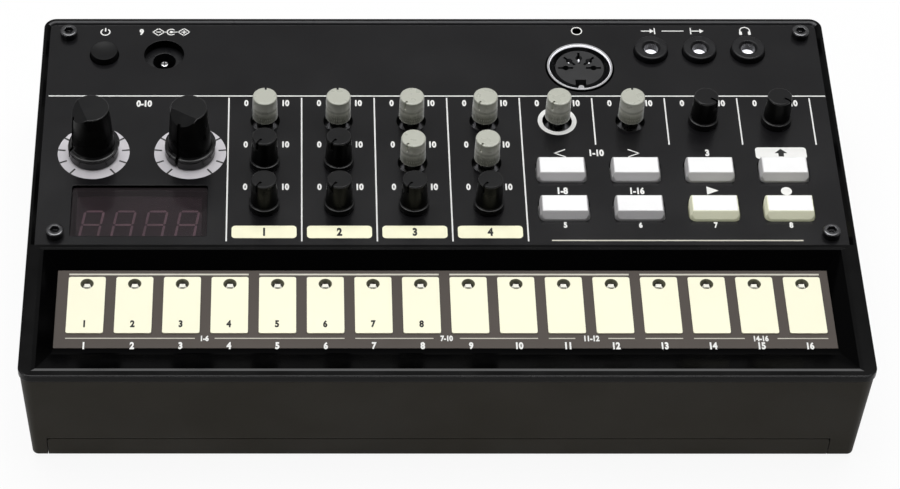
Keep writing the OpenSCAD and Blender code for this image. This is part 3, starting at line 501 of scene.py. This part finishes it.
class Ink:
    """Flat marks of one colour, gathered into one thin piece."""

    def __init__(self, name, surface):
        self.name = name
        self.surface = surface
        self.mesh = bmesh.new()

    def area(self, outline, z, thickness=INK):
        """A flat mark with this outline, its underside at height z."""
        base = [self.mesh.verts.new((x * MM, y * MM, z * MM)) for x, y in outline]
        top = [self.mesh.verts.new((x * MM, y * MM, (z + thickness) * MM)) for x, y in outline]
        self.mesh.faces.new(top)
        self.mesh.faces.new(base[::-1])
        for n in range(len(outline)):
            m = (n + 1) % len(outline)
            self.mesh.faces.new((base[n], base[m], top[m], top[n]))

    def ring(self, x, y, outer, inner, z, steps=64):
        """A closed ring made of four-sided faces."""
        loops = []
        for r, level in ((inner, z), (outer, z), (outer, z + INK), (inner, z + INK)):
            circle = disc(x, y, r, steps)
            loops.append([self.mesh.verts.new((px * MM, py * MM, level * MM)) for px, py in circle])
        for n in range(steps):
            m = (n + 1) % steps
            for a, b in zip(loops, loops[1:] + loops[:1]):
                self.mesh.faces.new((a[n], b[n], b[m], a[m]))

    def figures(self, body, x, y, height, z, squeeze=0.74, weight=0.05):
        """Numerals centred on a point, their height in millimetres."""
        text = bpy.data.curves.new("figures", "FONT")
        text.body = body
        text.size = 1
        text.offset = weight
        text.extrude = 0.5
        text.resolution_u = 4
        holder = bpy.data.objects.new("figures", text)
        bpy.context.scene.collection.objects.link(holder)
        bpy.context.view_layer.update()
        shape = bpy.data.meshes.new_from_object(holder)
        xs = [v.co.x for v in shape.vertices]
        ys = [v.co.y for v in shape.vertices]
        scale = height * MM / (max(ys) - min(ys))
        centre = Vector(((max(xs) + min(xs)) / 2, (max(ys) + min(ys)) / 2, -0.5))
        shape.transform(Matrix.Translation((x * MM, y * MM, z * MM))
                        @ Matrix.Diagonal((scale * squeeze, scale, INK * MM, 1))
                        @ Matrix.Translation(-centre))
        self.mesh.from_mesh(shape)
        bpy.data.objects.remove(holder)
        bpy.data.curves.remove(text)
        bpy.data.meshes.remove(shape)

    def piece(self):
        """Makes the gathered marks one piece of the case."""
        bmesh.ops.remove_doubles(self.mesh, verts=self.mesh.verts, dist=1e-7)
        bmesh.ops.recalc_face_normals(self.mesh, faces=self.mesh.faces)
        mesh = bpy.data.meshes.new(self.name)
        self.mesh.to_mesh(mesh)
        self.mesh.free()
        mesh.materials.append(self.surface.material)
        piece = bpy.data.objects.new(self.name, mesh)
        bpy.context.scene.collection.objects.link(piece)
        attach(piece, "case")


WHITE_INK = Surface("ink_white", (0.80, 0.80, 0.78), 0.5, Specular_IOR_Level=0.3) \
    .tint(5, 0.05).polish(4, 0.08)
CREAM_INK = Surface("ink_cream", (0.92, 0.90, 0.66), 0.45, Specular_IOR_Level=0.3) \
    .tint(6, 0.04).polish(4, 0.08)
LINE_INK = Surface("ink_line", (0.60, 0.58, 0.50), 0.5, Specular_IOR_Level=0.3) \
    .tint(5, 0.06).polish(4, 0.08)
RING_INK = Surface("ink_ring", (0.60, 0.58, 0.61), 0.45, Specular_IOR_Level=0.3) \
    .tint(5, 0.05).polish(4, 0.08)
BLACK_INK = Surface("ink_black", (0.010, 0.010, 0.009), 0.5, Specular_IOR_Level=0.3) \
    .tint(3, 0.1).polish(3, 0.08)


def panel_lines(ink):
    """Ruled lines between the groups of controls."""
    width = 0.34
    line_y = 31.3
    line_left = -94.2
    line_right = 94.8
    long_front = -16.1
    long_gap = 0.6
    short_front = 15.0
    short_gap = 0.7
    ink.area(rectangle(line_left, line_right, line_y - width / 2, line_y + width / 2), PANEL_Z)
    for n in range(5):
        x = COLUMNS[n] - COLUMN_PITCH / 2
        ink.area(rectangle(x - width / 2, x + width / 2, long_front, line_y - long_gap), PANEL_Z)
    for n in range(4, 8):
        x = COLUMNS[n] + COLUMN_PITCH / 2
        ink.area(rectangle(x - width / 2, x + width / 2, short_front, line_y - short_gap), PANEL_Z)


def knob_scales(ink):
    """End figures of each small knob's scale, behind it on both sides."""
    height = 2.1
    behind = 6.0
    low_end = -4.6
    high_end = 5.0
    for name in CLEAR_KNOBS + BLACK_KNOBS:
        knob = middle(f"knob_{name}")
        ink.figures("0", knob.x + low_end, knob.y + behind, height, PANEL_Z)
        ink.figures("10", knob.x + high_end, knob.y + behind, height, PANEL_Z)


def group_pills(ink, black):
    """Cream label in front of each of the four left columns, with its number."""
    half_w = 7.6
    front = -15.1
    back = -11.2
    corner_r = 0.9
    height = 2.5
    for n in range(4):
        x = COLUMNS[n]
        ink.area(rounded(x - half_w, x + half_w, front, back, corner_r), PANEL_Z)
        black.figures(str(n + 1), x, (front + back) / 2, height, PANEL_Z + INK)


def button_marks(ink, black):
    """Arrows, play and record marks and plain numbers round the push buttons."""
    z = PANEL_Z
    height = 2.2
    small_height = 1.8
    behind = 6.0
    before = 4.9
    back_row = BUTTON_ROWS[0] + behind - 0.05
    front_row = BUTTON_ROWS[1] + behind
    left, right, third, fourth = BUTTON_COLUMNS
    chevron_tip = 1.3
    chevron_foot = 1.2
    chevron_half = 1.15
    chevron_w = 0.26
    for x, turn in ((left, -1), (right, 1)):
        tip = (x + turn * chevron_tip, back_row)
        for side in (-1, 1):
            foot = (x - turn * chevron_foot, back_row + side * chevron_half)
            ink.area(stroke(foot, tip, chevron_w), z)
    ink.figures("1-10", (left + right) / 2, back_row + 0.1, height, z)
    ink.figures("3", third, back_row + 0.1, height, z)
    ink.figures("1-8", left, front_row, height, z)
    ink.figures("1-16", right, front_row, height, z)
    play = [(-1.2, -1.2), (1.6, 0.1), (-1.2, 1.4)]
    ink.area(moved(third, front_row, play), z)
    record_r = 1.3
    ink.area(disc(fourth, front_row - 0.1, record_r), z)
    plate = rounded(-6.1, 6.1, -1.8, 1.9, 0.8)
    ink.area(moved(fourth, back_row, plate), z)
    arrow = [(-1.5, -0.1), (-0.65, -0.1), (-0.65, -1.2), (0.65, -1.2), (0.65, -0.1), (1.5, -0.1), (0, 1.3)]
    black.area(moved(fourth, back_row + 0.1, arrow), z + INK)
    for n, x in enumerate(BUTTON_COLUMNS):
        ink.figures(str(n + 5), x, BUTTON_ROWS[1] - before, small_height, z)


def power_mark(ink):
    """Open ring with a stroke in its gap, behind the power button."""
    x = middle("power_button").x - 0.1
    y = 53.5
    r = 1.1
    width = 0.32
    ink.area(curved(x, y, r, 125, 415, width), PANEL_Z)
    ink.area(stroke((x, y + 0.35), (x, y + 1.25), width), PANEL_Z)


def polarity_mark(ink):
    """Centre-pin polarity sign: minus, ring, plus."""
    y = 53.5
    z = PANEL_Z
    start = middle("dc_jack").x - 1.6
    pitch = 6.3
    width = 0.28
    diamond = [(-1.45, 0), (0, -1.25), (1.45, 0), (0, 1.25)]
    arm = 0.5
    ring_r = 1.0
    dot_r = 0.42
    wire_from = 1.6
    wire_to = 4.7
    figure_x = -4.2
    figure_h = 2.2
    for x, plus in ((start, False), (start + pitch, True)):
        points = moved(x, y, diamond)
        for n in range(4):
            ink.area(stroke(points[n], points[(n + 1) % 4], width), z)
        ink.area(stroke((x - arm, y), (x + arm, y), width), z)
        if plus:
            ink.area(stroke((x, y - arm), (x, y + arm), width), z + OVER)
    centre = start + pitch / 2
    ink.area(curved(centre, y, ring_r, 40, 320, width), z)
    ink.area(disc(centre, y, dot_r), z)
    ink.area(stroke((start + wire_from, y), (centre - 1.2, y), width), z)
    ink.area(stroke((centre + 0.5, y), (start + wire_to, y), width), z)
    ink.figures("9", start + figure_x, y, figure_h, z)


def socket_marks(ink):
    """Pictograms behind the sockets."""
    y = 53.9
    z = PANEL_Z
    width = 0.3
    jacks = jack_columns()
    five_pole = middle("midi_shell").x
    ring_r = 1.25
    pole_r = 0.72
    dot_r = 0.17
    ink.area(curved(five_pole, y, ring_r, 0, 360, 0.28), z)
    for angle in (0, 45, 90, 135, 180):
        turn = math.radians(angle)
        ink.area(disc(five_pole + pole_r * math.cos(turn), y + pole_r * math.sin(turn), dot_r, 16), z)
    head = [(0.3, -0.75), (1.35, 0), (0.3, 0.75)]
    shaft_w = 0.32
    wall_x = 1.5
    wall_h = 0.95
    for x, wall in ((jacks[0], jacks[0] + wall_x), (jacks[1] + 0.4, jacks[1] - wall_x)):
        ink.area(stroke((x - 1.7, y), (x + 0.7, y), shaft_w), z)
        ink.area(moved(x, y, head), z + OVER)
        ink.area(stroke((wall, y - wall_h), (wall, y + wall_h), width), z)
    link_from = 3.4
    ink.area(stroke((jacks[0] + link_from, y), (jacks[1] - link_from, y), width), z)
    band_r = 1.2
    ear_x = 1.1
    ink.area(curved(jacks[2], y + 0.1, band_r, -20, 200, width), z)
    ear = rounded(-0.34, 0.34, -1.35, -0.15, 0.2)
    for side in (-1, 1):
        ink.area(moved(jacks[2] + side * ear_x, y, ear), z + OVER)


def jack_columns():
    """Middles of the three small sockets, from the outer walls of their bodies."""
    box_w = 9.6
    first = low("mini_jacks").x + box_w / 2
    last = high("mini_jacks").x - box_w / 2
    return [first, (first + last) / 2, last]


def dial_rings(ring, black):
    """Light crescent with scale ticks under each large knob."""
    outer = 8.6
    inner = 6.1
    shift = 3.27
    z = PANEL_Z
    tick_from = outer - 1.6
    tick_to = outer - 0.1
    tick_w = 0.42
    tick_angles = (56, 84, 113, 142)
    reach = math.degrees(math.acos((outer ** 2 + shift ** 2 - inner ** 2) / (2 * outer * shift)))
    horn = math.radians(90 - reach)
    tip = math.degrees(math.atan2(outer * math.sin(horn) - shift, outer * math.cos(horn)))
    for name in ("dial_left", "dial_right"):
        x, y = middle(name).x, middle(name).y
        outside = arc(x, y, outer, 90 + reach, 450 - reach, 96)
        inside = arc(x, y + shift, inner, 360 + tip, 180 - tip, 96)
        strip(ring, outside, inside, z)
        for angle in tick_angles:
            for side in (-1, 1):
                turn = math.radians(90 - side * angle)
                ends = [(x + r * math.cos(turn), y + r * math.sin(turn)) for r in (tick_from, tick_to)]
                black.area(stroke(*ends, tick_w), z + INK)


def strip(ink, outside, inside, z):
    """Band between two open outlines of equal count, given in opposite directions."""
    inside = inside[::-1]
    loops = []
    for points, level in ((outside, z), (outside, z + INK), (inside, z + INK), (inside, z)):
        loops.append([ink.mesh.verts.new((px * MM, py * MM, level * MM)) for px, py in points])
    for n in range(len(outside) - 1):
        for a, b in zip(loops, loops[1:] + loops[:1]):
            ink.mesh.faces.new((a[n], b[n], b[n + 1], a[n + 1]))
    for end in (0, -1):
        ink.mesh.faces.new([loop[end] for loop in loops])


def key_marks(line, white, black):
    """Lines behind and in front of the touch keys and their numbers."""
    z = PLATE_Z
    behind = KEY_BACK + 1.0
    before = KEY_FRONT - 1.35
    number_y = KEY_FRONT - 3.5
    number_h = 2.1
    label_h = 1.7
    digit_w = 0.75
    thick = 0.24
    thin = 0.13
    for first in range(0, KEY_COUNT, 4):
        ends = KEYS[first] - KEY_W / 2, KEYS[first + 3] + KEY_W / 2
        line.area(rectangle(*ends, behind - thick, behind + thick), z)
    groups = [(0, 5, "1-6"), (6, 9, "7-10"), (10, 11, "11-12"), (12, 12, ""), (13, 15, "14-16")]
    for first, last, label in groups:
        left = KEYS[first] - KEY_W / 2
        right = KEYS[last] + KEY_W / 2
        centre = (left + right) / 2
        half_gap = digit_w * len(label)
        if label:
            line.area(rectangle(left, centre - half_gap, before - thin, before + thin), z)
            line.area(rectangle(centre + half_gap, right, before - thin, before + thin), z)
            white.figures(label, centre, before, label_h, z)
        else:
            line.area(rectangle(left, right, before - thin, before + thin), z)
    for n, x in enumerate(KEYS):
        white.figures(str(n + 1), x, number_y, number_h, z)
    for n in range(8):
        black.figures(str(n + 1), KEYS[n] - 0.1, KEY_FRONT + 2.75, number_h, KEY_Z)


def loose_marks(white, line):
    """Range of the two dials, ring round the fifth knob and line in front of the buttons."""
    dials_x = (middle("dial_left").x + middle("dial_right").x) / 2
    dials_y = 28.7
    height = 2.2
    ring_outer = 4.7
    ring_inner = 3.58
    line_left = 25.7
    line_right = 84.3
    line_y = -15.8
    line_half = 0.18
    white.figures("0-10", dials_x, dials_y, height, PANEL_Z)
    white.ring(COLUMNS[4], ROWS[0], ring_outer, ring_inner, PANEL_Z)
    line.area(rectangle(line_left, line_right, line_y - line_half, line_y + line_half), PANEL_Z)


def panel_marks():
    """All printed marks, one piece for each colour of ink."""
    white = Ink("print_white", WHITE_INK)
    cream = Ink("print_cream", CREAM_INK)
    line = Ink("print_lines", LINE_INK)
    ring = Ink("print_rings", RING_INK)
    black = Ink("print_black", BLACK_INK)
    panel_lines(white)
    knob_scales(white)
    group_pills(cream, black)
    button_marks(white, black)
    power_mark(white)
    polarity_mark(white)
    socket_marks(white)
    loose_marks(white, line)
    dial_rings(ring, black)
    key_marks(line, white, black)
    for ink in (white, cream, line, ring, black):
        ink.piece()


panel_marks()


# ---- small turned parts in the sockets and key holes ---------------------------------------

def turned(name, surface, places, profile, steps=40):
    """One piece of several turned parts: profile points are (radius, height), places (x, y)."""
    shape = bmesh.new()
    for x, y in places:
        rings = []
        for r, z in profile:
            circle = disc(x, y, r, steps)
            rings.append([shape.verts.new((px * MM, py * MM, z * MM)) for px, py in circle])
        for n in range(steps):
            m = (n + 1) % steps
            for a, b in zip(rings, rings[1:] + rings[:1]):
                shape.faces.new((a[n], a[m], b[m], b[n]))
    bmesh.ops.recalc_face_normals(shape, faces=shape.faces)
    mesh = bpy.data.meshes.new(name)
    shape.to_mesh(mesh)
    shape.free()
    for face in mesh.polygons:
        face.use_smooth = True
    mesh.materials.append(surface.material)
    piece = bpy.data.objects.new(name, mesh)
    bpy.context.scene.collection.objects.link(piece)
    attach(piece, "case")


def lining(r, z0, z1, thickness=0.04):
    """Profile of a thin sleeve of outer radius r."""
    return [(r, z0), (r, z1), (r - thickness, z1), (r - thickness, z0)]


def lamp_rims():
    """Olive bevel round each lamp, on the flared mouth of its hole."""
    mouth = 1.54
    throat = 1.11
    depth = 0.48
    skin = 0.04
    below = 0.02
    turned("lamp_rims", OLIVE, [(x, middle("step_leds").y) for x in KEYS], [
        (mouth, KEY_Z - below), (mouth, PLATE_Z), (throat, PLATE_Z - depth),
        (throat - skin, PLATE_Z - depth + skin), (mouth - 0.10, PLATE_Z + below),
        (mouth - skin, KEY_Z - below),
    ])


def socket_linings():
    """Glowing sleeves in the jack bores, shell wall and contact tips in the five-pole socket, their glow a
    painted highlight.
    """
    jack = high("mini_jacks")
    bore_r = 1.79
    sleeve_foot = 7.0
    sleeve_top = 2.6
    turned("jack_sleeves", SLEEVE_GLOW, [(x, middle("mini_jacks").y) for x in jack_columns()],
           lining(bore_r, jack.z - sleeve_foot, jack.z - sleeve_top))
    shell = middle("midi_shell")
    shell_r = (high("midi_shell").x - low("midi_shell").x) / 2
    shell_top = high("midi_shell").z
    shell_wall = 0.455
    wall_foot = 0.65
    wall_top = 0.02
    turned("shell_wall", SLEEVE_GLOW, [(shell.x, shell.y)],
           lining(shell_r - shell_wall, shell_top - wall_foot, shell_top - wall_top))
    pole_r = 3.6
    insert = high("midi_socket").z
    tips = []
    # contact tips in three of the five holes only, as painted glints
    for angle in (45, 90, 135):
        turn = math.radians(angle)
        tips.append((shell.x + pole_r * math.cos(turn), shell.y + pole_r * math.sin(turn)))
    tip_profile = [(0.01, -1.4), (0.26, -1.4), (0.26, -1.0), (0.14, -0.8), (0.01, -0.8)]
    turned("contact_tips", SLEEVE_GLOW, tips, [(r, insert + z) for r, z in tip_profile], 16)


def pin_slot_shade():
    """Black cross strokes on the end of the power socket's pin: painted shade standing in for the slots
    that split it.
    """
    ink = Ink("pin_slot_shade", BLACK_INK)
    pin = middle("dc_pin")
    reach = 0.62
    width = 0.26
    # painted shade: flat black strokes where the slots would be dark
    for ends in ([(-reach, 0), (reach, 0)], [(0, -reach), (0, reach)]):
        ink.area(stroke(*moved(pin.x, pin.y, ends), width), high("dc_pin").z)
    ink.piece()


lamp_rims()
socket_linings()
pin_slot_shade()


# ---- display digits ---------------------------------------------------------------------

def digit_segments(ink, x, y, z):
    """One slanted seven-segment figure; x and y are the middle of its foot."""
    height = 9.1
    width = 4.9
    bar = 0.55
    lean = math.tan(math.radians(8))
    clearance = 0.16
    thickness = 0.08

    def put(points):
        ink.area([(x + px + lean * py, y + py) for px, py in points], z, thickness)

    half = height / 2
    for level in (0, half, height):
        base = min(max(level - bar / 2, 0), height - bar)
        inset = width / 2 - bar * 0.5 - clearance
        put([(-inset, base + bar / 2), (-inset + bar / 2, base), (inset - bar / 2, base),
             (inset, base + bar / 2), (inset - bar / 2, base + bar), (-inset + bar / 2, base + bar)])
    for side in (-1, 1):
        for start, end in ((bar / 2, half), (half, height - bar / 2)):
            inner = side * (width / 2 - bar)
            outer = side * width / 2
            middle_x = (inner + outer) / 2
            y0 = start + clearance
            y1 = end - clearance
            put([(middle_x, y0), (outer, y0 + bar / 2), (outer, y1 - bar / 2),
                 (middle_x, y1), (inner, y1 - bar / 2), (inner, y0 + bar / 2)])


def display_digits():
    """Four unlit figures on the display block, under the window."""
    ink = Ink("display_digits", SEGMENT)
    depth = 0.3
    foot_y = -7.2
    z = high("display_module").z - depth
    centre = middle("display_window").x
    foot = middle("display_window").y + foot_y
    pitch = 7.5
    shift = -0.6
    for n in range(4):
        digit_segments(ink, centre + (n - 1.5) * pitch + shift, foot, z)
    ink.piece()


display_digits()


# ---- lights, floor and camera -----------------------------------------------------------

def floor():
    """Wide pale table top that keeps the object's shadow."""
    reach = 6.0
    white = 0.9
    glow_share = 0.92
    mesh = bpy.data.meshes.new("table_top")
    shape = bmesh.new()
    bmesh.ops.create_grid(shape, x_segments=8, y_segments=8, size=reach)
    shape.to_mesh(mesh)
    shape.free()
    piece = bpy.data.objects.new("table_top", mesh)
    bpy.context.scene.collection.objects.link(piece)
    material = bpy.data.materials.new("table_white")
    material.use_nodes = True
    tree = material.node_tree
    tree.nodes.clear()
    output = tree.nodes.new("ShaderNodeOutputMaterial")
    matt = tree.nodes.new("ShaderNodeBsdfDiffuse")
    matt.inputs["Color"].default_value = (white, white, white, 1)
    glow = tree.nodes.new("ShaderNodeEmission")
    glow.inputs["Color"].default_value = (1, 1, 1, 1)
    path = tree.nodes.new("ShaderNodeLightPath")
    seen = path.outputs["Is Camera Ray"]
    for ray in ("Is Glossy Ray", "Is Transmission Ray"):
        either = tree.nodes.new("ShaderNodeMath")
        either.operation = "MAXIMUM"
        tree.links.new(seen, either.inputs[0])
        tree.links.new(path.outputs[ray], either.inputs[1])
        seen = either.outputs[0]
    share = tree.nodes.new("ShaderNodeMath")
    share.operation = "MULTIPLY"
    share.inputs[1].default_value = glow_share
    mix = tree.nodes.new("ShaderNodeMixShader")
    tree.links.new(seen, share.inputs[0])
    tree.links.new(share.outputs[0], mix.inputs["Fac"])
    tree.links.new(matt.outputs[0], mix.inputs[1])
    tree.links.new(glow.outputs[0], mix.inputs[2])
    tree.links.new(mix.outputs[0], output.inputs["Surface"])
    mesh.materials.append(material)


def world():
    """Pale studio: brightest overhead and behind the object, dim on the viewer's side."""
    scene = bpy.context.scene
    scene.world = bpy.data.worlds.new("studio")
    scene.world.use_nodes = True
    tree = scene.world.node_tree
    background = tree.nodes["Background"]
    coordinates = tree.nodes.new("ShaderNodeTexCoord")
    split = tree.nodes.new("ShaderNodeSeparateXYZ")
    tree.links.new(coordinates.outputs["Generated"], split.inputs[0])
    height = tree.nodes.new("ShaderNodeValToRGB")
    for position, level in ((0.0, 0.30), (0.30, 0.32), (0.75, 0.50), (1.0, 0.70)):
        stops = height.color_ramp.elements
        stop = stops[0] if position == 0.0 else stops[-1] if position == 1.0 else stops.new(position)
        stop.position = position
        stop.color = (level, level, level, 1)
    tree.links.new(split.outputs["Z"], height.inputs["Fac"])
    front = tree.nodes.new("ShaderNodeMapRange")
    for label, value in (("From Min", -0.6), ("From Max", 0.1), ("To Min", 0.15), ("To Max", 1.0)):
        front.inputs[label].default_value = value
    tree.links.new(split.outputs["Y"], front.inputs["Value"])
    tree.links.new(front.outputs["Result"], background.inputs["Strength"])
    tree.links.new(height.outputs["Color"], background.inputs["Color"])


def lamp(name, place, target, size, power):
    """Soft rectangular lamp that faces its target, in metres and watts."""
    data = bpy.data.lights.new(name, "AREA")
    data.shape = "RECTANGLE"
    data.size, data.size_y = size
    data.energy = power
    light = bpy.data.objects.new(name, data)
    light.location = place
    light.rotation_euler = (Vector(target) - Vector(place)).to_track_quat("-Z", "Y").to_euler()
    bpy.context.scene.collection.objects.link(light)


def camera():
    """The photograph's own view, 900 by 489 pixels, from a fit to the case's corners."""
    place = (-33.91, -487.48, 559.10)
    pitch = 48.46
    yaw = 0.0004
    focal_px = 3038.7
    centre_px = (295.5, 251.5)
    width, height = 900, 489
    data = bpy.data.cameras.new("camera")
    data.sensor_width = 36
    data.lens = focal_px / width * data.sensor_width
    data.shift_x = (width / 2 - centre_px[0]) / width
    data.shift_y = (centre_px[1] - height / 2) / width
    data.clip_end = 50
    view = bpy.data.objects.new("camera", data)
    view.location = Vector(place) * MM
    view.rotation_euler = (math.radians(90 - pitch), 0, yaw)
    bpy.context.scene.collection.objects.link(view)
    bpy.context.scene.camera = view


floor()
world()
lamp("lamp_top", (0.0, 0.22, 1.05), (0, 0, 0), (1.0, 0.8), 10.0)
lamp("lamp_left", (-0.7, -0.45, 0.6), (0, 0, 0), (0.3, 0.3), 0.5)
camera()
bpy.context.scene.view_settings.view_transform = "Standard"
